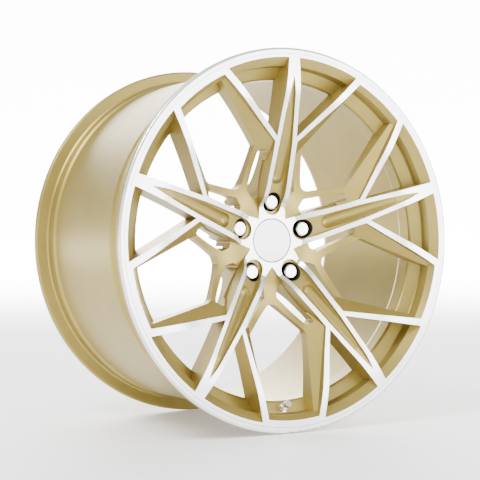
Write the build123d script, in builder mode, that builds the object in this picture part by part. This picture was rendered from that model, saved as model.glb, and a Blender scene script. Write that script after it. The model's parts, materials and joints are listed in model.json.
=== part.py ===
"""Forged 20 x 11 J racing wheel with its centre cap, lug nuts and clamp-in tyre valve.

Frame: the origin is the centre of the bolt circle on the hub mounting face, +Y runs along the
axle towards the vehicle, so the spoked face looks to -Y, and +Z is up through one main spoke.
All sizes are in millimetres. A "depth" is measured along +Y from the plane of the front lip.
"""

import os
from math import atan2, cos, hypot, radians, sin, tan

from build123d import *

os.makedirs("parts", exist_ok=True)

# ---------------------------------------------------------------- driving dimensions
flange_radius = 272.0  # outside of both rim flanges
seat_radius = 253.9  # bead seat at the flange, for a 20 inch tyre
overall_width = 307.0  # lip to lip, 11 inches between the beads
wheel_offset = 45.0  # rim centre plane inboard of the mounting face
flange_width = 11.0
spokes = 5

lip_radius = 253.5  # inner edge of the front lip at the wide windows
narrow_lip_radius = 258.5  # and at the narrow windows
lip_chamfer_depth = 10.0
throat_radius = 247.0  # inside of the barrel just behind the lip
well_radius = 229.5  # inside of the drop centre
well_front_depth = 36.0
well_rear_depth = 61.5
barrel_radius = 245.0  # inside of the long rear part
barrel_wall = 5.5
well_floor = 5.1
seat_taper = 1.2

bolt_circle_radius = 56.0
thread_radius = 7.0  # M14 studs
stud_hole_radius = thread_radius + 0.5
hub_bore_radius = 33.3
hub_bore_length = 24.0
bore_lead = 1.5
pad_radius = 79.0  # hub mounting face
hub_face_depth = 61.0  # turned face around the cap
hub_face_radius = 50.0

cap_radius = 31.9
cap_gap = 0.4
cap_flange = 3.4
cap_ledge = 2.9  # the cap's flange bears on this much of the forging
cap_rim = 0.7  # rim of the cap around its disc
cap_disc_radius = cap_radius - cap_rim
cap_bore_radius = cap_radius - cap_ledge
cap_leg_wall = 2.7
cap_legs = 8
cap_slot_width = 4.5
cap_wire_radius = 0.9

nut_across_flats = 21.0
nut_tip_depth = 61.2
nut_end_radius = nut_across_flats / 2 - 1.8
nut_collar_radius = nut_across_flats / 2 + 1.5
nut_nose_radius = thread_radius + 1.6
socket_wall = 3.4  # room for a socket around the nut
lug_pocket_radius = nut_across_flats / 2 + socket_wall
seat_depth = 86.0  # flat floor of the lug pocket, where the cone seat starts
seat_cone_radius = stud_hole_radius + 3.7
cone_angle = 30.0
washer_radius = nut_collar_radius + 0.6
washer_bore_radius = thread_radius + 0.3

valve_wall = 5.0
valve_tilt = 27.5  # stem leans towards the axle
valve_axis_radius = 239.0
stem_radius = 3.95
valve_hole_radius = stem_radius + 0.3
stem_neck_radius = 3.75
stem_top = 15.0
valve_bore_radius = 2.4
valve_head_radius = 6.8
valve_nut_across_flats = 12.0
valve_cap_wall = 1.15
valve_cap_radius = stem_neck_radius + valve_cap_wall
core_top = 13.5
pin_radius = 0.5

running = 0.06  # radial gap of parts that turn or slide in one another
face_gap = 0.05  # gap between flat faces that bear on one another

front_y = wheel_offset - overall_width / 2
mount_depth = -front_y
pitch_angle = 360 / spokes
half_pitch = radians(pitch_angle / 2)


def at(radius, depth):
    """A point of a turned section: radius from the axle, depth behind the front lip."""
    return (radius, front_y + depth)


def turned_copies(shape, count=spokes):
    """The same shape at every main spoke."""
    return [shape.rotate(Axis.Y, pitch_angle * k) for k in range(count)]


def mirrored_copies(shape):
    """The same shape on both sides of every main spoke."""
    return turned_copies(shape) + turned_copies(shape.mirror(Plane.YZ))


def across_half_pitch(point):
    """The mirror image of a face point across the line midway between two spokes."""
    angle = 2 * half_pitch - atan2(point[0], point[1])
    radius = hypot(*point)
    return (radius * sin(angle), radius * cos(angle))


def save(part, name):
    """Names the finished solid and writes it out."""
    part.label = name
    export_step(part, f"parts/{name}.step")
    print(f"{name:20s} solids {len(part.solids())}  volume {part.volume:12.1f}")


# ---------------------------------------------------------------- outlines of the face, X and Z
front_reach = 60.0  # limiting shapes start this far in front of the lip
deep = 320.0  # cutting shapes run this far along the axle
hidden_ledge = 1.5  # the lower tier stays this far inside the star's own walls

spoke_root_half = 21.6
spoke_waist_half = 18.4
spoke_tip_half = 8.7
waist_z = 122.0
spoke_end_z = 256.0
branch_root = (spoke_waist_half, 141.0)
branch_tip_low = (114.5, 228.5)
branch_tip_high = (108.5, 237.0)
crotch = (16.1, 147.5)
notch_radius = 14.0
crotch_radius = 7.0

half_star = [
    (22.3, 30.6),
    (spoke_root_half, 46.0),
    (spoke_waist_half, waist_z),
    branch_root,
    branch_tip_low,
    branch_tip_high,
    crotch,
    (spoke_tip_half, spoke_end_z),
]
star_outline = [(0, 0)] + half_star + [(-x, z) for x, z in reversed(half_star)]

rib_low = (50.0, 80.0)  # edge of the wide window along the rib
rib_high = (40.0, 136.0)
slot_outline = [(21.6, 62.0), (31.5, 62.0), (40.5, 73.0), (32.0, 131.0), (20.6, 129.0)]
slot_corner_radius = 3.0
rib_slope = (rib_low[0] - rib_high[0]) / (rib_high[1] - rib_low[1])
vertex_z = (rib_low[0] + rib_slope * rib_low[1]) / (tan(half_pitch) + rib_slope)
window_vertex = (vertex_z * tan(half_pitch), vertex_z)
window_tip = (118.0, 227.0)  # leaves a narrow ledge beside the branch at the rim
wide_half = [rib_high, window_tip, (152.0, 270.0)]
wide_window = [window_vertex] + wide_half + [across_half_pitch(p) for p in reversed(wide_half)]
vertex_round = 13.0
rib_corner_round = 7.0
narrow_window = [crotch, (spoke_tip_half, spoke_end_z), (spoke_tip_half, 290.0), (132.0, 288.0)]
narrow_window += [branch_tip_high]

valley_halves = [(14.6, 54.0), (12.5, 100.0), (10.6, 140.0), (7.4, 180.0), (4.2, 212.0)]
valley_nose_z = 52.0
valley_nose_radius = 15.0
valley_tip_z = 235.0
valley_tip_round = 2.5
scoop_radius = 10.5
scoop_reach = (94.0, 196.0)
scoop_depths = (53.0, 13.0)
pad_pocket_radius = 56.0
pad_pocket_depth = 22.0

# ---------------------------------------------------------------- turned sections, radius and depth
face_curve = [(60, 54.3), (92, 38.0), (140, 22.3), (188, 9.6)]
web_curve = [(28, 61.5), (47, 63.5), (60, 66.0), (84, 65.0), (100, 61.0), (116, 55.0), (132, 47.5)]
web_curve += [(172, 34.0), (196, 27.5), (238, 15.0)]
back_curve = [(88, 89.0), (107, 74.0), (143, 57.5), (190, 46.0), (233, 41.5)]
land_curve = [(30, 62.5), (58, 62.5), (68, 56.5), (80, 50.8), (120, 35.8), (190, 14.0), (236, -1.0)]
facet_depths = (27.0, 5.0)  # of the sloping skirt under the branch, at its root and its tip
facet_angle = 45.0

# ---------------------------------------------------------------- solids the face is cut from
with BuildPart() as face_blank:
    with BuildSketch(Plane.XY):
        with BuildLine():
            hub_line = Line(at(0, hub_face_depth), at(hub_face_radius, hub_face_depth))
            curve_points = [at(*p) for p in face_curve] + [at(lip_radius - 5, 0)]
            dish = Spline(hub_line @ 1, *curve_points, tangents=((1, 0), (1, 0)))
            Polyline(dish @ 1, at(256, 0), at(256, 6), at(251, 14), at(250, 27), at(232.5, 37.5))
            Polyline(at(232.5, 37.5), at(232.5, mount_depth), at(0, mount_depth), hub_line @ 0)
        make_face()
    revolve(axis=Axis.Y)

with BuildPart() as back_limit:
    with BuildSketch(Plane.XY):
        with BuildLine():
            rear = Spline(*[at(*p) for p in back_curve])
            Polyline(rear @ 1, at(262, 41.5), at(262, -front_reach), at(0, -front_reach))
            Polyline(at(0, -front_reach), at(0, mount_depth), at(pad_radius, mount_depth))
            Polyline(at(pad_radius, mount_depth), at(pad_radius + 2, mount_depth - 9), rear @ 0)
        make_face()
    revolve(axis=Axis.Y)

with BuildPart() as web_blank:
    with BuildSketch(Plane.XY):
        with BuildLine():
            web = Spline(*[at(*p) for p in web_curve])
            Polyline(web @ 1, at(238, 33), at(232.5, 37.5), at(232.5, mount_depth), at(0, mount_depth))
            Polyline(at(0, mount_depth), at(0, 61.5), web @ 0)
        make_face()
    revolve(axis=Axis.Y)

with BuildPart() as land_limit:
    with BuildSketch(Plane.XY):
        with BuildLine():
            land = Spline(*[at(*p) for p in land_curve])
            Polyline(land @ 1, at(236, -front_reach), at(0, -front_reach), at(0, 62.5), land @ 0)
        make_face()
    revolve(axis=Axis.Y)

# the star of main spokes and branches that carries the turned face
with BuildPart() as star:
    with BuildSketch(Plane.XZ) as star_face:
        with PolarLocations(0, spokes):
            Polygon(*star_outline, align=None)
        corners = star_face.vertices()
        fillet([v for v in corners if 37 < hypot(v.X, v.Z) < 39], notch_radius)
        fillet([v for v in corners if 146 < hypot(v.X, v.Z) < 149.5], crotch_radius)
    extrude(amount=deep / 2, both=True)
    add(face_blank.part, mode=Mode.INTERSECT)

# sloping skirts under the branches, on the side of the wide windows
edge_root = Vector(branch_root[0], front_y + facet_depths[0], branch_root[1])
edge_tip = Vector(branch_tip_low[0], front_y + facet_depths[1], branch_tip_low[1])
edge_line = edge_tip - edge_root
slope_down = Vector(edge_line.Z, 0, -edge_line.X).normalized()
slope_dir = slope_down * cos(radians(facet_angle)) + Vector(0, sin(radians(facet_angle)), 0)
facet_plane = Plane(origin=edge_root, x_dir=edge_line, z_dir=edge_line.cross(slope_dir))

with BuildPart() as skirt:
    with BuildSketch(Plane.XZ):
        Polygon((10, 118), (17, 144), (111.5, 232.5), (124, 224), (46, 128), (38, 112), align=None)
    extrude(amount=deep / 2, both=True)
    split(bisect_by=facet_plane, keep=Keep.TOP)
    add(face_blank.part, mode=Mode.INTERSECT)

# windows and slots as straight prisms
with BuildPart() as wide_cut:
    with BuildSketch(Plane.XZ) as wide_face:
        Polygon(*wide_window, align=None)
        corners = wide_face.vertices()
        fillet([v for v in corners if hypot(v.X, v.Z) < 100], vertex_round)
        fillet([v for v in corners if 135 < hypot(v.X, v.Z) < 150], rib_corner_round)
    extrude(amount=deep / 2, both=True)

with BuildPart() as slot_cut:
    with BuildSketch(Plane.XZ) as slot_face:
        Polygon(*slot_outline, align=None)
        fillet(slot_face.vertices(), slot_corner_radius)
    extrude(amount=deep / 2, both=True)

with BuildPart() as narrow_cut:
    with BuildSketch(Plane.XZ):
        Polygon(*narrow_window, align=None)
        offset(amount=hidden_ledge)
    extrude(amount=deep / 2, both=True)

# the narrow windows run further out into the lip, down a sloping chamfer
with BuildPart() as lip_chamfer:
    with BuildSketch(Plane.XY):
        Polygon(
            at(throat_radius - 3, lip_chamfer_depth),
            at(throat_radius, lip_chamfer_depth),
            at(narrow_lip_radius, 0),
            at(narrow_lip_radius, -1),
            at(throat_radius - 3, -1),
            align=None,
        )
    revolve(axis=Axis.Y)
    with BuildSketch(Plane.XZ):
        Polygon(*narrow_window, align=None)
    extrude(amount=deep / 2, both=True, mode=Mode.INTERSECT)

# valley along each main spoke, with its round nose round the lug
valley_mirror = [(-x, z) for x, z in reversed(valley_halves)]
with BuildPart() as valley_cut:
    with BuildSketch(Plane.XZ) as valley_face:
        Polygon(*valley_halves, (0, valley_tip_z), *valley_mirror, align=None)
        fillet(valley_face.vertices().sort_by(Axis.Z)[-1], valley_tip_round)
        with Locations((0, valley_nose_z)):
            Circle(valley_nose_radius)
    extrude(amount=deep / 2, both=True)
    add(land_limit.part, mode=Mode.INTERSECT)

# ball-nosed groove in the valley: it plunges in behind the lug and runs out towards the rim
scoop_start = Vector(0, front_y + scoop_depths[0], scoop_reach[0])
scoop_end = Vector(0, front_y + scoop_depths[1], scoop_reach[1])
scoop_dir = (scoop_end - scoop_start).normalized()
scoop_lift = Vector(0, -scoop_dir.Z, scoop_dir.Y) * scoop_radius
scoop_plane = Plane(origin=scoop_start + scoop_lift, z_dir=scoop_dir)
with BuildPart() as scoop_cut:
    with BuildSketch(scoop_plane):
        Circle(scoop_radius)
    extrude(amount=(scoop_end - scoop_start).length)
    with Locations(scoop_plane.location):
        Sphere(scoop_radius)
    with BuildSketch(Plane.XZ):
        Polygon(*valley_halves, (0, valley_tip_z), *valley_mirror, align=None)
    extrude(amount=deep / 2, both=True, mode=Mode.INTERSECT)

# pocket, cone seat and stud hole of one lug, turned about the stud
cone_slope = tan(radians(cone_angle))
cone_depth = (seat_cone_radius - stud_hole_radius) / cone_slope
with BuildPart() as lug_cut:
    with BuildSketch(Plane.XY.offset(bolt_circle_radius)):
        Polygon(
            at(0, 30),
            at(lug_pocket_radius, 30),
            at(lug_pocket_radius, seat_depth),
            at(seat_cone_radius, seat_depth),
            at(stud_hole_radius, seat_depth + cone_depth),
            at(stud_hole_radius, mount_depth + 5),
            at(0, mount_depth + 5),
            align=None,
        )
    revolve(axis=Axis((0, 0, bolt_circle_radius), (0, 1, 0)))

# centre: cap recess, cap bore and the spigot bore from behind
cap_seat_depth = hub_face_depth + cap_flange + 0.3
bore_step_depth = mount_depth - hub_bore_length
with BuildPart() as hub_cut:
    with BuildSketch(Plane.XY):
        Polygon(
            at(0, 40),
            at(cap_radius + cap_gap, 40),
            at(cap_radius + cap_gap, cap_seat_depth),
            at(cap_bore_radius, cap_seat_depth),
            at(cap_bore_radius, bore_step_depth),
            at(hub_bore_radius, bore_step_depth),
            at(hub_bore_radius, mount_depth - bore_lead),
            at(hub_bore_radius + bore_lead, mount_depth),
            at(hub_bore_radius + bore_lead, mount_depth + 5),
            at(0, mount_depth + 5),
            align=None,
        )
    revolve(axis=Axis.Y)

# weight-saving pockets in the mounting face, between the studs
with BuildPart() as pad_cut:
    with BuildSketch(Plane.XZ) as pad_face:
        with PolarLocations(pad_pocket_radius, spokes, start_angle=90 + pitch_angle / 2):
            Polygon((-13, -8), (14, -14), (14, 14), (-13, 8), align=None)
        fillet(pad_face.vertices(), 4)
    extrude(amount=pad_pocket_depth)

# ---------------------------------------------------------------- barrel
wall_slope = tan(radians(valve_tilt))
wall_shift = valve_wall / cos(radians(valve_tilt))


def inner_wall(radius):
    """Depth of the drop centre's front wall, inside, at a radius."""
    return well_front_depth + (well_radius - radius) * wall_slope


well_outside = well_radius + well_floor
barrel_outside = barrel_radius + barrel_wall
throat_corner = throat_radius - 0.8
tail = overall_width
barrel_outline = [
    (lip_radius, 0),
    (flange_radius, 0),
    (flange_radius, flange_width - 1),
    (seat_radius + 2, flange_width + 1.6),
    (seat_radius, flange_width + 3.5),
    (seat_radius - seat_taper, 26),
    (seat_radius, 27.6),
    (seat_radius, inner_wall(seat_radius) + wall_shift),
    (well_outside, inner_wall(well_outside) + wall_shift),
    (well_outside, well_rear_depth - 6),
    (barrel_outside, well_rear_depth + 12),
    (barrel_outside, tail - 37),
    (seat_radius, tail - 33.4),
    (seat_radius, tail - 31.8),
    (seat_radius - seat_taper, tail - 29.6),
    (seat_radius, tail - flange_width - 3.5),
    (seat_radius + 2, tail - flange_width - 1.6),
    (flange_radius, tail - flange_width + 1),
    (flange_radius, tail),
    (lip_radius + 1.5, tail),
    (lip_radius - 3, tail - 7),
    (barrel_radius, tail - 19),
    (barrel_radius, well_rear_depth + 15.5),
    (well_radius, well_rear_depth),
    (well_radius, inner_wall(well_radius)),
    (throat_corner, inner_wall(throat_corner)),
    (throat_radius, inner_wall(throat_radius) - 1),
    (throat_radius, 8),
    (lip_radius, 1.2),
]
corner_rounds = {1: 4.0, 2: 3.5, 8: 1.0, 9: 10.0, 10: 12.0, 11: 3.0, 17: 3.5, 18: 4.5, 19: 2.0}
corner_rounds |= {20: 8.0, 21: 14.0, 22: 12.0, 23: 10.0, 24: 5.0}

with BuildPart() as barrel:
    with BuildSketch(Plane.XY) as barrel_section:
        Polygon(*[at(*p) for p in barrel_outline], align=None)
        for corner, radius in corner_rounds.items():
            spot = Vector(*at(*barrel_outline[corner]))
            nearest = barrel_section.vertices().sort_by_distance(spot)[0]
            fillet(nearest, radius)
    revolve(axis=Axis.Y)

# ---------------------------------------------------------------- the forging
valve_lean = (0, -cos(radians(valve_tilt)), sin(radians(valve_tilt)))
valve_foot = (0, front_y + inner_wall(valve_axis_radius), -valve_axis_radius)
valve_plane = Plane(origin=valve_foot, x_dir=(1, 0, 0), z_dir=valve_lean)

with BuildPart() as lower_tier:
    add(web_blank.part)
    add(mirrored_copies(skirt.part))
    add(turned_copies(wide_cut.part), mode=Mode.SUBTRACT)
    add(mirrored_copies(slot_cut.part), mode=Mode.SUBTRACT)
    add(mirrored_copies(narrow_cut.part), mode=Mode.SUBTRACT)
    add(back_limit.part, mode=Mode.INTERSECT)

with BuildPart() as front_star:
    add(star.part)
    add(back_limit.part, mode=Mode.INTERSECT)

with BuildPart() as wheel_forging:
    add(barrel.part)
    add(front_star.part)
    add(lower_tier.part)
    add(hub_cut.part, mode=Mode.SUBTRACT)
    add(pad_cut.part, mode=Mode.SUBTRACT)
    add(turned_copies(lug_cut.part), mode=Mode.SUBTRACT)
    with BuildSketch(valve_plane):
        Circle(valve_hole_radius)
    extrude(amount=valve_wall * 1.5, both=True, mode=Mode.SUBTRACT)
    add(turned_copies(valley_cut.part), mode=Mode.SUBTRACT)
    add(turned_copies(scoop_cut.part), mode=Mode.SUBTRACT)
    add(mirrored_copies(lip_chamfer.part), mode=Mode.SUBTRACT)
save(wheel_forging.part, "wheel_forging")

# ---------------------------------------------------------------- centre cap
cap_front = hub_face_depth + 0.3
cap_back = cap_front + cap_flange
cap_rim_depth = cap_front + 1.0
leg_end = bore_step_depth - 0.5
leg_inside = cap_bore_radius - running - cap_leg_wall
wire_depth = leg_end - 4.5
wire_ring_radius = leg_inside - cap_wire_radius - running

with BuildPart() as cap_body:
    with BuildSketch(Plane.XY):
        Polygon(
            at(0, cap_rim_depth),
            at(cap_disc_radius + running, cap_rim_depth),
            at(cap_disc_radius + running, cap_front + 0.2),
            at(cap_radius, cap_front + 0.2),
            at(cap_radius, cap_back),
            at(cap_bore_radius - running, cap_back),
            at(cap_bore_radius - running, leg_end - 1),
            at(cap_bore_radius - running - 1, leg_end),
            at(wire_ring_radius, leg_end),
            at(wire_ring_radius, wire_depth + cap_wire_radius + 0.3),
            at(leg_inside, wire_depth + cap_wire_radius + 0.3),
            at(leg_inside, cap_back),
            at(0, cap_back),
            align=None,
        )
    revolve(axis=Axis.Y)
    with BuildSketch(Plane.XZ.offset(-front_y - cap_back - 1.2)):
        with PolarLocations(cap_bore_radius, cap_legs, start_angle=90 / cap_legs):
            Rectangle(12, cap_slot_width)
    extrude(amount=-(leg_end - cap_back), mode=Mode.SUBTRACT)
save(cap_body.part, "cap_body")

with BuildPart() as cap_face:
    with BuildSketch(Plane.XY):
        with BuildLine():
            crown_edge = at(cap_disc_radius - 0.3, cap_front)
            crown = ThreePointArc(at(0, cap_front - 0.9), at(16, cap_front - 0.67), crown_edge)
            Polyline(
                crown @ 1,
                at(cap_disc_radius, cap_front + 0.3),
                at(cap_disc_radius, cap_rim_depth - face_gap),
                at(0, cap_rim_depth - face_gap),
                crown @ 0,
            )
        make_face()
    revolve(axis=Axis.Y)
save(cap_face.part, "cap_face")

with BuildPart() as cap_spring_ring:
    with BuildSketch(Plane.XY):
        with Locations(at(wire_ring_radius, wire_depth)):
            Circle(cap_wire_radius)
    revolve(axis=Axis.Y, revolution_arc=338)
save(cap_spring_ring.part, "cap_spring_ring")

# ---------------------------------------------------------------- lug nuts on floating cone washers
cone_gap = running / cos(radians(cone_angle))
washer_top = seat_depth - 2.4
washer_step = seat_depth - 0.3
washer_end = seat_depth + 4.9
nose_length = 2.9
nut_back = washer_top - face_gap
collar_depth = nut_back - 2.4
corner_radius = nut_across_flats / 2 / cos(radians(30))


def cone_at(depth):
    """Radius of the washer's cone at a depth."""
    return seat_cone_radius - (depth - seat_depth) * cone_slope - cone_gap


for index in range(spokes):
    turn = radians(pitch_angle * index)
    lug_x = bolt_circle_radius * sin(turn)
    lug_z = bolt_circle_radius * cos(turn)
    lug_plane = Plane(origin=(lug_x, 0, lug_z), x_dir=(1, 0, 0), z_dir=(0, 0, 1))
    lug_axis = Axis((lug_x, 0, lug_z), (0, 1, 0))
    nut_tip = (lug_x, front_y + nut_tip_depth, lug_z)
    with BuildPart() as lug_nut:
        with BuildSketch(Plane(nut_tip, x_dir=(1, 0, 0), z_dir=(0, 1, 0))):
            RegularPolygon(corner_radius, 6)
        extrude(amount=collar_depth - nut_tip_depth + 1)
        with BuildSketch(lug_plane):
            Polygon(
                at(0, nut_tip_depth),
                at(nut_end_radius, nut_tip_depth),
                at(corner_radius + 0.5, nut_tip_depth + (corner_radius + 0.5 - nut_end_radius) * cone_slope),
                at(corner_radius + 0.5, nut_back + 5),
                at(0, nut_back + 5),
                align=None,
            )
        revolve(axis=lug_axis, mode=Mode.INTERSECT)
        with BuildSketch(lug_plane):
            Polygon(
                at(0, collar_depth),
                at(nut_collar_radius, collar_depth),
                at(nut_collar_radius, nut_back),
                at(nut_nose_radius, nut_back),
                at(nut_nose_radius, nut_back + nose_length),
                at(0, nut_back + nose_length),
                align=None,
            )
        revolve(axis=lug_axis)
        with BuildSketch(lug_plane):
            Polygon(
                at(0, nut_tip_depth + 4),
                at(thread_radius, nut_tip_depth + 6),
                at(thread_radius, nut_back + nose_length - 0.8),
                at(thread_radius + 0.8, nut_back + nose_length),
                at(thread_radius + 0.8, nut_back + nose_length + 1),
                at(0, nut_back + nose_length + 1),
                align=None,
            )
        revolve(axis=lug_axis, mode=Mode.SUBTRACT)
    save(lug_nut.part, f"lug_nut_{index + 1}")

    with BuildPart() as lug_washer:
        with BuildSketch(lug_plane):
            Polygon(
                at(nut_nose_radius + running, washer_top),
                at(washer_radius, washer_top),
                at(washer_radius, washer_step),
                at(cone_at(washer_step), washer_step),
                at(cone_at(washer_end), washer_end),
                at(washer_bore_radius, washer_end),
                at(washer_bore_radius, washer_top + nose_length + 0.1),
                at(nut_nose_radius + running, washer_top + nose_length + 0.1),
                align=None,
            )
        revolve(axis=lug_axis)
    save(lug_washer.part, f"lug_washer_{index + 1}")

# ---------------------------------------------------------------- clamp-in tyre valve
# heights along the stem are measured from the inside of the rim wall, towards the cap
stem_section = Plane(origin=valve_foot, x_dir=(1, 0, 0), z_dir=Vector(1, 0, 0).cross(Vector(*valve_lean)))
stem_axis = Axis(valve_foot, valve_lean)
grommet_thickness = 1.6
head_thickness = 2.5
head_top = -valve_wall - grommet_thickness
head_bottom = head_top - head_thickness
valve_washer_thickness = 1.2
valve_nut_height = 4.7
valve_nut_top = valve_washer_thickness + face_gap + valve_nut_height
neck_start = 9.0
inlet_radius = 1.4
bore_floor = -3.0
gasket_thickness = 0.8
gasket_radius = 3.4
cap_skirt_end = neck_start + 0.5
cap_top = stem_top + gasket_thickness + 1.4

with BuildPart() as valve_stem:
    with BuildSketch(stem_section):
        Polygon(
            (inlet_radius, head_bottom),
            (valve_head_radius - 0.6, head_bottom),
            (valve_head_radius, head_bottom + 0.6),
            (valve_head_radius, head_top),
            (stem_radius, head_top),
            (stem_radius, neck_start),
            (stem_neck_radius, neck_start + 0.3),
            (stem_neck_radius, stem_top - 0.5),
            (stem_neck_radius - 0.5, stem_top),
            (valve_bore_radius, stem_top),
            (valve_bore_radius, bore_floor),
            (inlet_radius, bore_floor - 1),
            align=None,
        )
    revolve(axis=stem_axis)
save(valve_stem.part, "valve_stem")

with BuildPart() as valve_grommet:
    with BuildSketch(stem_section):
        Polygon(
            (stem_radius + running, head_top + face_gap),
            (valve_head_radius - 0.2, head_top + face_gap),
            (valve_head_radius - 0.4, -valve_wall - face_gap),
            (stem_radius + running, -valve_wall - face_gap),
            align=None,
        )
    revolve(axis=stem_axis)
save(valve_grommet.part, "valve_grommet")

with BuildPart() as valve_washer:
    with BuildSketch(stem_section):
        Polygon(
            (stem_radius + running, face_gap),
            (valve_head_radius, face_gap),
            (valve_head_radius, valve_washer_thickness),
            (stem_radius + running, valve_washer_thickness),
            align=None,
        )
    revolve(axis=stem_axis)
save(valve_washer.part, "valve_washer")

nut_corner = valve_nut_across_flats / 2 / cos(radians(30))
with BuildPart() as valve_nut:
    with BuildSketch(valve_plane.offset(valve_washer_thickness + face_gap)):
        RegularPolygon(nut_corner, 6)
        Circle(stem_radius + running, mode=Mode.SUBTRACT)
    extrude(amount=valve_nut_height)
    with BuildSketch(stem_section):
        Polygon(
            (0, valve_washer_thickness),
            (nut_corner + 0.2, valve_washer_thickness),
            (nut_corner + 0.2, valve_nut_top - 1.0),
            (nut_corner - 1.3, valve_nut_top),
            (0, valve_nut_top),
            align=None,
        )
    revolve(axis=stem_axis, mode=Mode.INTERSECT)
save(valve_nut.part, "valve_nut")

core_bottom = 4.0
core_shelf = 9.0
core_radius = valve_bore_radius - running
core_pocket_radius = 1.6
pin_head_radius = 1.45
pin_head_height = 0.8
pin_top = core_top - 0.3
seal_radius = 1.9
seal_height = 0.9

with BuildPart() as valve_core:
    with BuildSketch(stem_section):
        Polygon(
            (pin_radius + running, core_bottom),
            (core_radius - 0.3, core_bottom),
            (core_radius, core_bottom + 0.3),
            (core_radius, core_top),
            (core_pocket_radius, core_top),
            (core_pocket_radius, core_shelf),
            (pin_radius + running, core_shelf),
            align=None,
        )
    revolve(axis=stem_axis)
save(valve_core.part, "valve_core")

with BuildPart() as valve_core_pin:
    with BuildSketch(stem_section):
        Polygon(
            (0, core_bottom - face_gap - seal_height),
            (seal_radius, core_bottom - face_gap - seal_height),
            (seal_radius, core_bottom - face_gap),
            (pin_radius, core_bottom - face_gap),
            (pin_radius, pin_top - pin_head_height),
            (pin_head_radius, pin_top - pin_head_height),
            (pin_head_radius, pin_top),
            (0, pin_top),
            align=None,
        )
    revolve(axis=stem_axis)
save(valve_core_pin.part, "valve_core_pin")

spring_wire = 0.16
spring_radius = 1.1
spring_low = core_shelf + spring_wire + 0.02
spring_high = pin_top - pin_head_height - spring_wire - 0.02
with BuildPart() as valve_core_spring:
    with BuildLine() as coil:
        Helix((spring_high - spring_low) / 5, spring_high - spring_low, spring_radius)
    with BuildSketch(Plane(origin=coil.line @ 0, z_dir=coil.line % 0)):
        Circle(spring_wire)
    sweep()
save(valve_core_spring.part.moved(valve_plane.offset(spring_low).location), "valve_core_spring")

with BuildPart() as valve_cap:
    with BuildSketch(valve_plane.offset(cap_skirt_end)):
        Circle(valve_cap_radius)
        with PolarLocations(valve_cap_radius + 0.25, 24):
            Circle(0.5, mode=Mode.SUBTRACT)
    extrude(amount=cap_top - cap_skirt_end)
    chamfer(faces().sort_by(stem_axis)[-1].edges(), 0.35)
    with BuildSketch(stem_section):
        Polygon(
            (0, cap_skirt_end - 1),
            (stem_neck_radius + 0.12, cap_skirt_end - 1),
            (stem_neck_radius + 0.12, stem_top + gasket_thickness + face_gap),
            (0, stem_top + gasket_thickness + face_gap),
            align=None,
        )
    revolve(axis=stem_axis, mode=Mode.SUBTRACT)
save(valve_cap.part, "valve_cap")

with BuildPart() as valve_cap_gasket:
    with BuildSketch(valve_plane.offset(stem_top + face_gap)):
        Circle(gasket_radius)
    extrude(amount=gasket_thickness - face_gap)
save(valve_cap_gasket.part, "valve_cap_gasket")
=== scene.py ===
import json
import math

import bmesh
import bpy
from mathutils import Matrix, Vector


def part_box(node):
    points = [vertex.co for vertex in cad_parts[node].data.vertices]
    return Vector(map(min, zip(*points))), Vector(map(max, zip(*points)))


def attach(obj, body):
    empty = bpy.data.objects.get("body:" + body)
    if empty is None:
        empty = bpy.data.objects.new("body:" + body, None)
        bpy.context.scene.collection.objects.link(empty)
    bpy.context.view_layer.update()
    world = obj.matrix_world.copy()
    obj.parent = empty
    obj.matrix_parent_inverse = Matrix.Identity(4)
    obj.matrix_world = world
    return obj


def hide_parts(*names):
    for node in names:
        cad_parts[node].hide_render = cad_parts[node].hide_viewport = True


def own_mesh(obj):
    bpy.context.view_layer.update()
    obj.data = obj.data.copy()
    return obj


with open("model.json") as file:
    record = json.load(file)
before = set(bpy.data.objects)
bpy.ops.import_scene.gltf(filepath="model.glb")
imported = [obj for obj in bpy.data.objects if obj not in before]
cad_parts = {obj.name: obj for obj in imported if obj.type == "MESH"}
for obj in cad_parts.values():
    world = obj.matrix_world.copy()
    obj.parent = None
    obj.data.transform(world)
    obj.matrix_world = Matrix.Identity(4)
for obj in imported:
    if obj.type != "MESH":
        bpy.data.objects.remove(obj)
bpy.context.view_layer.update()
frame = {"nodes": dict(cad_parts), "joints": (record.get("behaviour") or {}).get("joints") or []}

# ---------------------------------------------------------------- 1. the forging
# The wheel is one aluminium forging, painted satin champagne gold and then turned bright on
# the front of the spokes and the lip. Its lug pockets and cap recess are painted near black
# as shade. It carries everything else.


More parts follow.
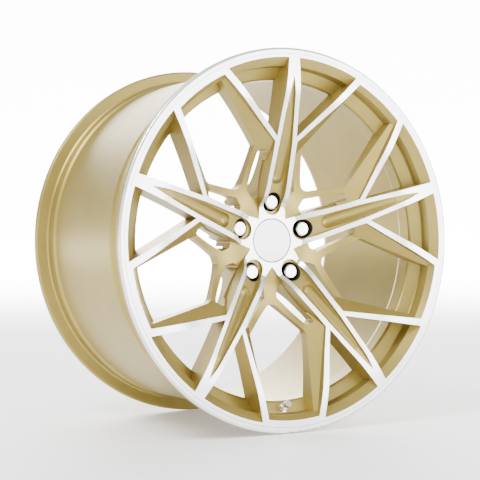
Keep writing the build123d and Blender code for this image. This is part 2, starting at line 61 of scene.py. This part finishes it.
class Shader:
    """One output of a node in a material, with arithmetic that adds Math nodes."""

    def __init__(self, tree, socket):
        self.tree = tree
        self.socket = socket

    def node(self, kind, settings=None, **values):
        made = self.tree.nodes.new(kind)
        for key, value in (settings or {}).items():
            setattr(made, key, value)
        for key, value in values.items():
            plug = made.inputs[int(key[1:])] if key[1:].isdigit() else made.inputs[key.replace("_", " ")]
            if isinstance(value, Shader):
                self.tree.links.new(value.socket, plug)
            else:
                plug.default_value = value
        return made

    def math(self, operation, *values):
        plugs = {f"i{k}": value for k, value in enumerate(values)}
        made = self.node("ShaderNodeMath", {"operation": operation}, **plugs)
        return Shader(self.tree, made.outputs[0])

    def root(self):
        return self.math("SQRT", self)

    def sine(self):
        return self.math("SINE", self)

    def __add__(self, other):
        return self.math("ADD", self, other)

    def __radd__(self, other):
        return self.math("ADD", other, self)

    def __sub__(self, other):
        return self.math("SUBTRACT", self, other)

    def __rsub__(self, other):
        return self.math("SUBTRACT", other, self)

    def __mul__(self, other):
        return self.math("MULTIPLY", self, other)

    def __rmul__(self, other):
        return self.math("MULTIPLY", other, self)

    def out(self, made, index=0):
        return Shader(self.tree, made.outputs[index])

    def noise(self, scale, detail=2.0, rough=0.5):
        made = self.node(
            "ShaderNodeTexNoise", Vector=self, Scale=scale, Detail=detail, Roughness=rough
        )
        return self.out(made)

    def ramp(self, low, high, low_to=0.0, high_to=1.0):
        """A smooth step of this value from low to high."""
        made = self.node(
            "ShaderNodeMapRange",
            {"interpolation_type": "SMOOTHSTEP"},
            i0=self, i1=low, i2=high, i3=low_to, i4=high_to,
        )
        return self.out(made)

    def mix(self, first, second):
        """Colour between two others, by this value."""
        made = self.node("ShaderNodeMix", {"data_type": "RGBA"}, i0=self, i6=first, i7=second)
        return self.out(made, 2)

    def split(self):
        made = self.node("ShaderNodeSeparateXYZ", i0=self)
        return [self.out(made, k) for k in range(3)]


def material(name, build, **constants):
    """A Principled material. build(p) gets the object coordinates and returns its varying inputs."""
    made = bpy.data.materials.new(name)
    made.use_nodes = True
    tree = made.node_tree
    tree.nodes.clear()
    end = tree.nodes.new("ShaderNodeOutputMaterial")
    shader = tree.nodes.new("ShaderNodeBsdfPrincipled")
    tree.links.new(shader.outputs[0], end.inputs[0])
    place = Shader(tree, tree.nodes.new("ShaderNodeTexCoord").outputs["Object"])
    for key, value in constants.items():
        shader.inputs[key.replace("_", " ")].default_value = value
    for key, value in build(place).items():
        if key == "Bump":
            strength, distance, height = value
            bump = place.node("ShaderNodeBump", Strength=strength, Distance=distance, Height=height)
            tree.links.new(bump.outputs[0], shader.inputs["Normal"])
        else:
            tree.links.new(value.socket, shader.inputs[key])
    return made


TOOL_MARKS = 5200.0  # radians per metre of the turning tool's fine rings
LIP_GROOVE = 0.2632  # radius of the fine groove turned in the lip, its line painted dark as shade
GROOVE_HALF, GROOVE_FADE = 0.0002, 0.0004


def gold_look(p):
    grain = p.noise(900.0, 3.0)
    cloud = p.noise(14.0, 2.0)
    colour = cloud.ramp(0.3, 0.7).mix((0.315, 0.238, 0.055, 1), (0.355, 0.27, 0.064, 1))
    return {
        "Base Color": grain.ramp(0.35, 0.75, 0.0, 0.3).mix(colour, (0.46, 0.365, 0.12, 1)),
        "Roughness": cloud * 0.06 + grain * 0.05 + 0.34,
        "Bump": (0.08, 0.0004, p.noise(260.0, 2.0)),
    }


def turned_look(p):
    x, y, z = p.split()
    radius = (x * x + z * z).root()
    rings = (radius * TOOL_MARKS).sine()
    drift = p.noise(35.0, 2.0)
    inner, outer = LIP_GROOVE - GROOVE_HALF, LIP_GROOVE + GROOVE_HALF
    # painted shade: the turned groove in the lip is a dark grey line in the colour, standing for the
    # shade inside it
    painted_groove_shade = radius.ramp(inner - GROOVE_FADE, inner) - radius.ramp(outer, outer + GROOVE_FADE)
    bright = drift.ramp(0.3, 0.7).mix((0.88, 0.88, 0.88, 1), (0.95, 0.95, 0.945, 1))
    return {
        "Base Color": painted_groove_shade.mix(bright, (0.34, 0.34, 0.34, 1)),
        "Roughness": rings * 0.02 + drift * 0.08 + 0.24,
        "Bump": (0.05, 0.0001, rings),
    }


# painted shade: the deep lug pockets and the cap recess get a near-black colour that stands for the
# shade inside them
def pocket_shade_look(p):
    drift = p.noise(300.0, 2.0)
    return {
        "Base Color": drift.ramp(0.3, 0.7).mix((0.018, 0.014, 0.008, 1), (0.032, 0.026, 0.015, 1)),
        "Roughness": drift * 0.1 + 0.5,
    }


gold = material("champagne_gold", gold_look, Metallic=0.72, Coat_Weight=0.12, Coat_Roughness=0.25)
pocket = material("pocket_painted_shade", pocket_shade_look, Specular_IOR_Level=0.3)
turned = material("turned_face", turned_look, Metallic=0.85, Coat_Weight=0.5, Coat_Roughness=0.1)

# the turned face as radius and depth behind the lip, in millimetres; the rest is in metres
FACE = [(50, 61), (60, 54.3), (92, 38.0), (140, 22.3), (188, 9.6), (248.5, 0)]
LIP_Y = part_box("wheel_forging")[0][1]
LIP_ROUND = 0.2675  # the lip's rounded edge starts here and is turned too
EDGE_DEPTH, EDGE_FACING = 0.005, -0.45
UNDER_FACE, OVER_FACE = -0.00135, 0.00075  # how far the mesh may lie from the face's curve
FACING = 0.985  # cosine of the angle allowed to the curve's own direction
LUG_CIRCLE = 0.056
LUG_PITCH = math.radians(72)
POCKET_ROUND, POCKET_TOP = 0.0142, 0.0625
RECESS_ROUND, RECESS_TOP = 0.0325, 0.0613


SETTLE = 200  # rounds after which the curve's slopes no longer change


def smooth_line(points, steps=24):
    """Points along the smooth curve through the given ones, level at both ends."""
    count = len(points)
    chord = [math.dist(points[k], points[k + 1]) for k in range(count - 1)]
    slopes = [[1.0, 0.0]] + [[0.0, 0.0] for _ in range(count - 2)] + [[1.0, 0.0]]
    for _ in range(SETTLE):
        for k in range(1, count - 1):
            before, after = chord[k - 1], chord[k]
            for axis in (0, 1):
                rise = (points[k][axis] - points[k - 1][axis]) / before**2
                rise += (points[k + 1][axis] - points[k][axis]) / after**2
                side = slopes[k - 1][axis] / before + slopes[k + 1][axis] / after
                slopes[k][axis] = (3 * rise - side) / (2 / before + 2 / after)
    line = []
    for k in range(count - 1):
        for step in range(steps):
            t = step / steps
            line.append(
                tuple(
                    (2 * t**3 - 3 * t**2 + 1) * points[k][axis]
                    + (t**3 - 2 * t**2 + t) * slopes[k][axis] * chord[k]
                    + (3 * t**2 - 2 * t**3) * points[k + 1][axis]
                    + (t**3 - t**2) * slopes[k + 1][axis] * chord[k]
                    for axis in (0, 1)
                )
            )
    return line + [points[-1]]


FACE_LINE = smooth_line(FACE)


def face_depth(radius):
    """Depth of the turned face behind the lip at a radius, both in metres."""
    r = radius * 1000
    if r <= FACE_LINE[0][0]:
        return FACE_LINE[0][1] / 1000
    if r >= FACE_LINE[-1][0]:
        return 0.0
    for (r0, d0), (r1, d1) in zip(FACE_LINE, FACE_LINE[1:]):
        if r0 <= r <= r1:
            return (d0 + (d1 - d0) * (r - r0) / (r1 - r0)) / 1000


def is_turned(mesh, face):
    """Whether a face of the forging lies on the turned front of the spokes or lip."""
    x, y, z = face.center
    radius = math.hypot(x, z)
    if radius > LIP_ROUND:
        return face.normal.y < EDGE_FACING and y < LIP_Y + EDGE_DEPTH
    slope = (face_depth(radius + 0.001) - face_depth(radius - 0.001)) / 0.002
    outward = Vector((slope * x / radius, -1, slope * z / radius)).normalized()
    if face.normal.dot(outward) < FACING:
        return False
    for index in face.vertices:
        x, y, z = mesh.vertices[index].co
        if not UNDER_FACE < y - LIP_Y - face_depth(math.hypot(x, z)) < OVER_FACE:
            return False
    return True


def is_pocket(face):
    """Whether a face of the forging is the inside of a lug pocket or of the cap's recess."""
    x, y, z = face.center
    turn = round(math.atan2(x, z) / LUG_PITCH) * LUG_PITCH
    reach = math.hypot(x - LUG_CIRCLE * math.sin(turn), z - LUG_CIRCLE * math.cos(turn))
    in_pocket = reach < POCKET_ROUND and y - LIP_Y > POCKET_TOP
    in_recess = math.hypot(x, z) < RECESS_ROUND and y - LIP_Y > RECESS_TOP
    return in_pocket or in_recess


def dress(node, look):
    """Gives a CAD node its material."""
    piece = frame["nodes"][node]
    piece.data.materials.clear()
    piece.data.materials.append(look)
    return piece


forging = dress("wheel_forging", gold)
forging.data.materials.append(turned)
forging.data.materials.append(pocket)
for polygon in forging.data.polygons:
    if is_turned(forging.data, polygon):
        polygon.material_index = 1
    # the faces inside the lug pockets and the cap recess take the painted shade
    elif is_pocket(polygon):
        polygon.material_index = 2

# ---------------------------------------------------------------- 2. lug nuts and their washers
# Closed-end steel nuts, 21 mm across flats, bright on the end and painted near black as shade on the
# flanks, each with a loose cone washer that seats in the forging's pocket. They clamp the wheel to the
# hub.


def chrome_look(p):
    drift = p.noise(120.0, 2.0)
    return {
        "Base Color": drift.ramp(0.3, 0.7).mix((0.86, 0.83, 0.82, 1), (0.93, 0.91, 0.90, 1)),
        "Roughness": drift * 0.08 + 0.14,
    }


def nut_look(p):
    # painted shade: behind the bright end, the flanks deep in the pocket are painted near black
    flank_shade = p.split()[1].ramp(NUT_SHADE_START, NUT_SHADE_START + NUT_SHADE_FADE)
    bright = p.noise(120.0, 2.0).ramp(0.3, 0.7).mix((0.80, 0.77, 0.77, 1), (0.88, 0.85, 0.85, 1))
    return {
        "Base Color": flank_shade.mix(bright, (0.05, 0.045, 0.04, 1)),
        "Roughness": flank_shade * 0.1 + 0.18,
    }


def steel_look(p):
    drift = p.noise(300.0, 2.0)
    return {
        "Base Color": drift.ramp(0.3, 0.7).mix((0.30, 0.29, 0.28, 1), (0.42, 0.41, 0.40, 1)),
        "Roughness": drift * 0.1 + 0.35,
    }


NUT_SHADE_START, NUT_SHADE_FADE = -0.0470, 0.0012  # where along the axle the nuts' painted shade begins, behind their bright end
nut_metal = material("nut_metal", nut_look, Metallic=1.0)
chrome = material("nickel", chrome_look, Metallic=1.0)
steel = material("washer_steel", steel_look, Metallic=1.0)
for number in range(1, 6):
    dress(f"lug_nut_{number}", nut_metal)
    dress(f"lug_washer_{number}", steel)

# ---------------------------------------------------------------- 3. centre cap
# A moulded cap with sprung legs, a wire ring that spreads them, and a thin satin aluminium
# disc bonded to its front. It snaps into the hub bore over the axle end.


def plastic_look(p):
    drift = p.noise(200.0, 2.0)
    return {
        "Base Color": drift.ramp(0.3, 0.7).mix((0.008, 0.008, 0.008, 1), (0.014, 0.014, 0.014, 1)),
        "Roughness": drift * 0.1 + 0.6,
    }


DISC_RINGS = 9000.0  # radians per metre of the disc's spun rings
DISC_GAP_SHADE = 0.0304  # outside this radius the disc's edge is painted near black as the shade of the gap round the cap


def disc_look(p):
    x, y, z = p.split()
    radius = (x * x + z * z).root()
    rings = (radius * DISC_RINGS).sine()
    drift = p.noise(60.0, 2.0)
    # painted shade: a near-black ring at the disc's edge stands for the shade in the gap around the cap
    edge = radius.ramp(DISC_GAP_SHADE, DISC_GAP_SHADE + 0.0003)
    bright = drift.ramp(0.3, 0.7).mix((0.84, 0.84, 0.845, 1), (0.90, 0.90, 0.90, 1))
    return {
        "Base Color": edge.mix(bright, (0.02, 0.02, 0.02, 1)),
        "Roughness": rings * 0.02 + drift * 0.06 + 0.3,
    }


cap_plastic = material("cap_plastic", plastic_look, Specular_IOR_Level=0.15)
cap_disc = material("cap_disc", disc_look, Metallic=0.6, Coat_Weight=0.4)
dress("cap_body", cap_plastic)
dress("cap_face", cap_disc)
dress("cap_spring_ring", steel)

# ---------------------------------------------------------------- 4. tyre valve
# A nickel-plated clamp-in valve: stem, rubber grommet on the tyre side, washer and nut on
# the open side, a brass core with its sprung pin, and a knurled metal dust cap.


def rubber_look(p):
    drift = p.noise(500.0, 2.0)
    return {
        "Base Color": drift.ramp(0.3, 0.7).mix((0.02, 0.02, 0.02, 1), (0.035, 0.035, 0.034, 1)),
        "Roughness": drift * 0.1 + 0.6,
    }


def brass_look(p):
    drift = p.noise(500.0, 2.0)
    return {
        "Base Color": drift.ramp(0.3, 0.7).mix((0.70, 0.48, 0.18, 1), (0.78, 0.56, 0.24, 1)),
        "Roughness": drift * 0.1 + 0.25,
    }


rubber = material("valve_rubber", rubber_look)
brass = material("core_brass", brass_look, Metallic=1.0)
for node in ("valve_stem", "valve_washer", "valve_nut"):
    dress(node, chrome)
dress("valve_grommet", rubber)
dress("valve_core", brass)
dress("valve_core_pin", steel)
core_spring = dress("valve_core_spring", steel)
dress("valve_cap", chrome)
dress("valve_cap_gasket", rubber)

# the spring shortens as its pin is pressed; a copy, attached to the rim, stands for the hidden CAD coil
PRESS_GAP = 0.00003
press = next(joint for joint in frame["joints"] if joint["name"] == "valve_pin_press")
push = Vector(press["axis"]).normalized()
reach = [vertex.co.dot(push) for vertex in core_spring.data.vertices]
coil_length = max(reach) - min(reach)
coil = bpy.data.objects.new("core_coil", core_spring.data.copy())
bpy.context.scene.collection.objects.link(coil)
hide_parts("valve_core_spring")
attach(coil, "rim")
kept_share = (coil_length - max(press["range_m"]) - PRESS_GAP) / coil_length
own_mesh(coil)

# ---------------------------------------------------------------- 5. studio
# The wheel stands upright on a pale floor that glows as painted light, brighter away from the wheel,
# under soft light, seen from its left and level with the axle through a long lens.


def floor_glow_look(p):
    x, y, z = p.split()
    # painted light: the floor glows, dim near the wheel and bright beyond a few metres
    far = (x * x + y * y).root().ramp(1.6, 6.0)
    drift = p.noise(3.0, 2.0)
    return {
        "Base Color": drift.ramp(0.3, 0.7).mix((0.93, 0.93, 0.93, 1), (0.95, 0.95, 0.95, 1)),
        "Roughness": drift * 0.1 + 0.6,
        "Emission Color": far.mix((0.04, 0.04, 0.04, 1), (1, 1, 1, 1)),
    }


def backdrop_look(p):
    drift = p.noise(1.0, 2.0)
    return {
        "Base Color": drift.ramp(0.3, 0.7).mix((0.93, 0.93, 0.93, 1), (0.95, 0.95, 0.95, 1)),
        "Emission Color": drift.ramp(0.3, 0.7).mix((0.98, 0.98, 0.98, 1), (1, 1, 1, 1)),
    }


def sheet(name, half_width, half_length, look):
    """A flat sheet that is part of the studio."""
    mesh = bpy.data.meshes.new(name)
    made = bmesh.new()
    corners = [(-1, -1), (1, -1), (1, 1), (-1, 1)]
    made.faces.new([made.verts.new((x * half_width, y * half_length, 0)) for x, y in corners])
    made.to_mesh(mesh)
    made.free()
    mesh.materials.append(look)
    piece = bpy.data.objects.new(name, mesh)
    bpy.context.scene.collection.objects.link(piece)
    return piece


FLOOR_Z = -0.2722  # just under the wheel
floor = sheet("floor", 60, 60, material("floor_painted_glow", floor_glow_look, Emission_Strength=8.0))
floor.location = (0, 0, FLOOR_Z)
backdrop = sheet("backdrop", 6, 3, material("backdrop_paper", backdrop_look, Emission_Strength=9.0))
backdrop.location = (4.0, 6.93, FLOOR_Z + 3)
backdrop.rotation_euler = (math.radians(90), 0, math.radians(-30))

world = bpy.data.worlds.new("studio")
world.use_nodes = True
world.node_tree.nodes["Background"].inputs[0].default_value = (1, 1, 1, 1)
world.node_tree.nodes["Background"].inputs[1].default_value = 0.95
bpy.context.scene.world = world


def lamp(name, place, target, size, power):
    """A square soft box aimed at a point."""
    data = bpy.data.lights.new(name, "AREA")
    data.size = size
    data.energy = power
    lamp_object = bpy.data.objects.new(name, data)
    lamp_object.location = place
    lamp_object.rotation_euler = (Vector(target) - Vector(place)).to_track_quat("-Z", "Y").to_euler()
    bpy.context.scene.collection.objects.link(lamp_object)


lamp("front", (1.5, -2.6, 0.5), (0, 0, 0), 2.0, 95)
lamp("key", (-1.6, -0.9, 2.0), (0, 0, 0), 1.0, 95)

CAMERA_PLACE = (-0.9595, -1.6139, -0.0035)
CAMERA_AIM = (0.5006, 0.8657, 0.0023)
view = bpy.data.cameras.new("camera")
view.lens = 94.9
view.sensor_width = 36
view.clip_start = 0.01
camera = bpy.data.objects.new("camera", view)
camera.location = CAMERA_PLACE
camera.rotation_euler = Vector(CAMERA_AIM).to_track_quat("-Z", "Y").to_euler()
bpy.context.scene.collection.objects.link(camera)
bpy.context.scene.camera = camera
